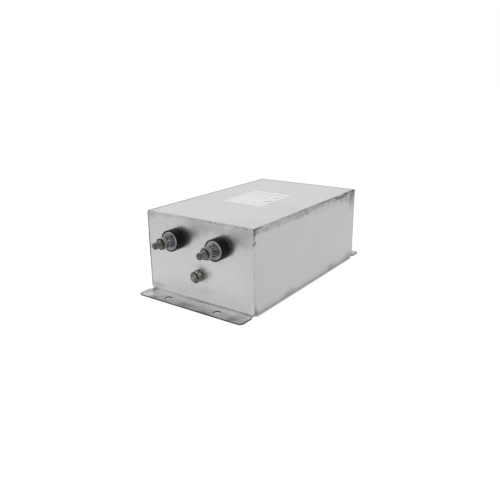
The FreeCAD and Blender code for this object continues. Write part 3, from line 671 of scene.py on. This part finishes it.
def threaded_stud(name, node, x, z, sign, tip, run_end, inner_end, crest, root, plain_r, pitch):
    """A stud along Y with a rolled thread on its free end. The lengths are out from the middle of the box."""
    around, per_pitch = 48, 10
    step = pitch / per_pitch
    verts, faces, rows = [], [], []

    def ring(radius_at, y):
        rows.append(len(verts))
        for i in range(around):
            a = 2 * math.pi * i / around
            r = radius_at(a)
            verts.append((x + r * math.cos(a), sign * y, z + r * math.sin(a)))

    chamfer = (crest - root) * 1.35
    n = int((tip - run_end) / step)
    for k in range(n + 1):
        y = tip - (tip - run_end) * k / n
        cap = root - 0.15 + (tip - y) * (crest - root + 0.15) / chamfer

        def radius(a, y=y, cap=cap):
            t = (y / pitch + a / (2 * math.pi)) % 1.0
            tri = abs(2 * t - 1)
            r = root + (crest - root) * min(1.0, max(0.0, (tri - 0.08) / 0.80))
            return min(r, cap, crest)

        ring(radius, y)
    for y, r in ((run_end - 0.02, plain_r), (inner_end + 0.8, plain_r), (inner_end, plain_r - 0.7)):
        ring(lambda a, r=r: r, y)
    for k in range(len(rows) - 1):
        for i in range(around):
            j = (i + 1) % around
            q = (rows[k] + i, rows[k] + j, rows[k + 1] + j, rows[k + 1] + i)
            faces.append(q if sign < 0 else q[::-1])
    first, last = tuple(range(around)), tuple(rows[-1] + i for i in range(around))
    faces.append(first[::-1] if sign < 0 else first)
    faces.append(last if sign < 0 else last[::-1])
    return mesh_piece(name, verts, faces, "plated_stud", [node], 50.0)


M8 = dict(crest=4.0, root=3.35, plain_r=3.594, pitch=1.25)
POWER = dict(tip=160.0, run_end=150.1, inner_end=94.0, **M8)
EARTH = dict(tip=134.6, run_end=131.6, inner_end=106.4, **M8)
for end, sign in (("line", -1), ("load", 1)):
    for hand, x in zip(("left", "right"), TERM_X):
        threaded_stud(f"{end}_thread_{hand}", f"{end}_stud_{hand}", x, TERM_Z, sign, **POWER)
    threaded_stud(f"{end}_earth_thread", f"{end}_earth_stud", EARTH_X, EARTH_Z, sign, **EARTH)


def tooth_ring(name, node, places, bore, root, tip, teeth, thick, tooth_t, twist, slot):
    """Lock washers with twisted outer teeth. places has (x, z, y of the near face, sign, turn)."""
    verts, faces = [], []
    for x, z, y0, sign, turn in places:
        # the plain ring
        base, around = len(verts), 56
        ymid, half = y0 + sign * thick / 2, tooth_t / 2
        for dy in (-half, half):
            for r in (bore, root):
                for i in range(around):
                    a = 2 * math.pi * i / around
                    verts.append((x + r * math.cos(a), ymid + dy, z + r * math.sin(a)))

        def idx(layer, r, i):
            return base + (layer * 2 + r) * around + i % around

        for i in range(around):
            faces.append((idx(0, 0, i), idx(0, 0, i + 1), idx(0, 1, i + 1), idx(0, 1, i)))
            faces.append((idx(1, 0, i), idx(1, 1, i), idx(1, 1, i + 1), idx(1, 0, i + 1)))
            faces.append((idx(0, 1, i), idx(0, 1, i + 1), idx(1, 1, i + 1), idx(1, 1, i)))
            faces.append((idx(0, 0, i), idx(1, 0, i), idx(1, 0, i + 1), idx(0, 0, i + 1)))
        # the teeth, each twisted about its own radius
        for k in range(teeth):
            a = 2 * math.pi * k / teeth + turn
            u = Vector((math.cos(a), 0, math.sin(a)))
            t = Vector((-math.sin(a), 0, math.cos(a)))
            n = Vector((0, 1, 0))
            b = len(verts)
            for r, w, tw in ((root - 0.5, math.pi * root / teeth * 0.56, 0.0), (tip - 0.10, math.pi * tip / teeth * 0.43, twist)):
                tt = t * math.cos(tw) + n * math.sin(tw)
                nn = n * math.cos(tw) - t * math.sin(tw)
                for sw, sn in ((-1, -1), (1, -1), (1, 1), (-1, 1)):
                    p = Vector((x, ymid, z)) + u * r + tt * (w * sw) + nn * (tooth_t / 2 * sn)
                    verts.append(tuple(p))
            for q in ((0, 1, 2, 3), (4, 7, 6, 5), (0, 4, 5, 1), (1, 5, 6, 2), (2, 6, 7, 3), (3, 7, 4, 0)):
                faces.append(tuple(b + i for i in q))
    return mesh_piece(name, verts, faces, slot, [node], 30.0)


tooth_ring(
    "terminal_tooth_rings", "terminal_lock_washers",
    [(x, TERM_Z, s * 142.5, s, 0.16 * i) for i, x in enumerate(TERM_X) for s in (-1, 1)],
    4.2, 5.6, 7.5, 14, 1.1, 0.5, math.radians(20), "spring_steel",
)
tooth_ring(
    "earth_tooth_rings", "earth_lock_washers",
    [(EARTH_X, EARTH_Z, s * HALF_L, s, 0.1) for s in (-1, 1)],
    4.2, 5.6, 7.5, 14, 1.1, 0.5, math.radians(20), "spring_steel",
)


def weld_run(verts, faces, a, b, across_dir, out_dir, width, height, seed):
    """An uneven weld bead between two points: width and height wander along it."""
    rnd = random.Random(seed)
    a, b = Vector(a), Vector(b)
    run = b - a
    length = run.length
    n = max(8, int(length / 0.8))
    knots = [(rnd.random(), rnd.random(), rnd.random()) for _ in range(int(length / 3.0) + 4)]

    def wander(s, i):
        t = s / 3.0
        k = int(t)
        f = t - k
        f = f * f * (3 - 2 * f)
        return knots[k][i] * (1 - f) + knots[k + 1][i] * f

    profile = 7
    first = len(verts)
    for j in range(n + 1):
        s = length * j / n
        fade = min(1.0, s / 2.0, (length - s) / 2.0)
        w = width * (0.50 + 0.62 * wander(s, 0)) * (0.35 + 0.65 * fade)
        h = height * (0.30 + 0.70 * wander(s, 1)) * (0.15 + 0.85 * fade)
        shift = (wander(s, 2) - 0.5) * width * 0.5
        centre = a + run * (s / length) + Vector(across_dir) * shift
        for k in range(profile):
            t = -1 + 2 * k / (profile - 1)
            lift = (1 - t * t) * h * (1.0 + 0.10 * (rnd.random() - 0.5))
            verts.append(tuple(centre + Vector(across_dir) * (t * w / 2) + Vector(out_dir) * min(lift, height)))
    for j in range(n):
        for k in range(profile - 1):
            p = first + j * profile + k
            faces.append((p, p + 1, p + profile + 1, p + profile))
        p = first + j * profile
        faces.append((p + profile - 1, p, p + profile, p + 2 * profile - 1))
    faces.append(tuple(first + k for k in range(profile))[::-1])
    faces.append(tuple(first + n * profile + k for k in range(profile)))


bead_v, bead_f = [], []
for side in (-1, 1):
    x = side * HALF_W
    out = (side, 0, 0)
    weld_run(bead_v, bead_f, (x, -121.0, 98.6), (x, 121.0, 98.6), (0, 0, 1), out, 1.9, 0.34, 11 + side)
    for end in (-1, 1):
        y = end * 122.7
        spans = ((5.0, 81.2), (84.8, 96.5)) if (side, end) == (1, -1) else ((5.0, 96.5),)
        for k, (z0, z1) in enumerate(spans):
            weld_run(bead_v, bead_f, (x, y, z0), (x, y, z1), (0, 1, 0), out, 1.6, 0.22, 31 + 7 * side + 3 * end + k)
mesh_piece("uneven_seam_welds", bead_v, bead_f, "weld_bead", ["seam_welds"], 60.0)

# ---------------------------------------------------------------------- stage
floor_mat = bpy.data.materials.new("floor")
floor_mat.use_nodes = True
nt = floor_mat.node_tree
nt.nodes.clear()
f_out = nt.nodes.new("ShaderNodeOutputMaterial")
f_add = nt.nodes.new("ShaderNodeAddShader")
f_dif = nt.nodes.new("ShaderNodeBsdfDiffuse")
f_emi = nt.nodes.new("ShaderNodeEmission")
f_noise = nt.nodes.new("ShaderNodeTexNoise")
f_map = nt.nodes.new("ShaderNodeMapRange")
f_noise.inputs["Scale"].default_value = 3.0
f_map.inputs["To Min"].default_value = 0.86
f_map.inputs["To Max"].default_value = 0.89
f_emi.inputs["Color"].default_value = (1.0, 1.0, 1.0, 1.0)
f_dif.inputs["Color"].default_value = (0.18, 0.18, 0.18, 1.0)
# painted shadow: the floor glows less where the part stands on it
f_co = nt.nodes.new("ShaderNodeTexCoord")
f_sep = nt.nodes.new("ShaderNodeSeparateXYZ")
nt.links.new(f_co.outputs["Object"], f_sep.inputs[0])
f_shadow_mask = None
for i, half in ((0, 0.075), (1, 0.1435)):
    f_abs = nt.nodes.new("ShaderNodeMath")
    f_abs.operation = "ABSOLUTE"
    nt.links.new(f_sep.outputs[i], f_abs.inputs[0])
    f_in = nt.nodes.new("ShaderNodeMapRange")
    f_in.interpolation_type = "SMOOTHSTEP"
    f_in.inputs["From Min"].default_value = half - 0.0015
    f_in.inputs["From Max"].default_value = half
    f_in.inputs["To Min"].default_value = 1.0
    f_in.inputs["To Max"].default_value = 0.0
    nt.links.new(f_abs.outputs[0], f_in.inputs["Value"])
    if f_shadow_mask is None:
        f_shadow_mask = f_in.outputs[0]
    else:
        f_both = nt.nodes.new("ShaderNodeMath")
        f_both.operation = "MULTIPLY"
        nt.links.new(f_shadow_mask, f_both.inputs[0])
        nt.links.new(f_in.outputs[0], f_both.inputs[1])
        f_shadow_mask = f_both.outputs[0]
# painted contact shadow: the dark line where the long sides meet the floor
f_contact_shadow = None
for i, lo, hi in ((0, 0.0779, 0.0791), (1, 0.1170, 0.1225)):
    f_abs = nt.nodes.new("ShaderNodeMath")
    f_abs.operation = "ABSOLUTE"
    nt.links.new(f_sep.outputs[i], f_abs.inputs[0])
    f_in = nt.nodes.new("ShaderNodeMapRange")
    f_in.interpolation_type = "SMOOTHSTEP"
    f_in.inputs["From Min"].default_value = lo
    f_in.inputs["From Max"].default_value = hi
    f_in.inputs["To Min"].default_value = 1.0
    f_in.inputs["To Max"].default_value = 0.0
    nt.links.new(f_abs.outputs[0], f_in.inputs["Value"])
    if f_contact_shadow is None:
        f_contact_shadow = f_in.outputs[0]
    else:
        f_both = nt.nodes.new("ShaderNodeMath")
        f_both.operation = "MULTIPLY"
        nt.links.new(f_contact_shadow, f_both.inputs[0])
        nt.links.new(f_in.outputs[0], f_both.inputs[1])
        f_contact_shadow = f_both.outputs[0]
f_most = nt.nodes.new("ShaderNodeMath")
f_most.operation = "MAXIMUM"
nt.links.new(f_shadow_mask, f_most.inputs[0])
nt.links.new(f_contact_shadow, f_most.inputs[1])
f_shadow_mask = f_most.outputs[0]
f_shadow_dim = nt.nodes.new("ShaderNodeMath")
f_shadow_dim.operation = "MULTIPLY_ADD"
f_shadow_dim.inputs[1].default_value = -0.66
f_shadow_dim.inputs[2].default_value = 1.0
nt.links.new(f_shadow_mask, f_shadow_dim.inputs[0])
f_str = nt.nodes.new("ShaderNodeMath")
f_str.operation = "MULTIPLY"
nt.links.new(f_shadow_dim.outputs[0], f_str.inputs[1])
nt.links.new(f_noise.outputs["Fac"], f_map.inputs["Value"])
nt.links.new(f_map.outputs[0], f_str.inputs[0])
nt.links.new(f_str.outputs[0], f_emi.inputs["Strength"])
nt.links.new(f_dif.outputs[0], f_add.inputs[0])
nt.links.new(f_emi.outputs[0], f_add.inputs[1])
nt.links.new(f_add.outputs[0], f_out.inputs["Surface"])

floor_me = bpy.data.meshes.new("floor")
R = 12.0
floor_me.from_pydata([(-R, -R, 0), (R, -R, 0), (R, R, 0), (-R, R, 0)], [], [(0, 1, 2, 3)])
floor = bpy.data.objects.new("floor", floor_me)
floor.location = (0, 0, -0.0001)
floor_me.materials.append(floor_mat)
scene.collection.objects.link(floor)

world = bpy.data.worlds.new("studio")
scene.world = world
world.use_nodes = True
wnt = world.node_tree
wnt.nodes.clear()
w_out = wnt.nodes.new("ShaderNodeOutputWorld")
w_bg = wnt.nodes.new("ShaderNodeBackground")
w_bg.inputs["Color"].default_value = (1.0, 1.0, 1.0, 1.0)
w_bg.inputs["Strength"].default_value = 1.0
wnt.links.new(w_bg.outputs[0], w_out.inputs["Surface"])


def softbox(name, place, target, size, power):
    light = bpy.data.lights.new(name, "AREA")
    light.shape = "SQUARE"
    light.size = size
    light.energy = power
    obj = bpy.data.objects.new(name, light)
    obj.location = place
    obj.rotation_euler = (Vector(target) - Vector(place)).to_track_quat("-Z", "Y").to_euler()
    scene.collection.objects.link(obj)
    return obj


softbox("key", (-0.9, -1.0, 1.5), (0, 0, 0.05), 1.1, 6.0)

# --------------------------------------------------------------------- camera
AZ, EL, ROLL = math.radians(35.339), math.radians(18.018), math.radians(-0.574)
back = Vector((math.sin(AZ) * math.cos(EL), -math.cos(AZ) * math.cos(EL), math.sin(EL)))
right = Vector((math.cos(AZ), math.sin(AZ), 0.0))
up = back.cross(right)
c, s = math.cos(ROLL), math.sin(ROLL)
cam_right = right * c + up * s
cam_up = up * c - right * s
tx, ty, dist = -58.39, -60.726, 615.421
place = cam_right * (-tx) + cam_up * (-ty) + back * dist
place = Vector((place.x, place.y - HALF_L, place.z)) * MM
cam_data = bpy.data.cameras.new("camera")
cam_data.sensor_width = 36.0
cam_data.lens = 526.671 / 500.0 * 36.0
cam_data.clip_start = 0.01
cam_data.clip_end = 50.0
cam = bpy.data.objects.new("camera", cam_data)
m = Matrix.Identity(4)
for i in range(3):
    m[i][0], m[i][1], m[i][2], m[i][3] = cam_right[i], cam_up[i], back[i], place[i]
cam.matrix_world = m
scene.collection.objects.link(cam)
scene.camera = cam
scene.view_settings.view_transform = "Standard"
scene.view_settings.look = "None"
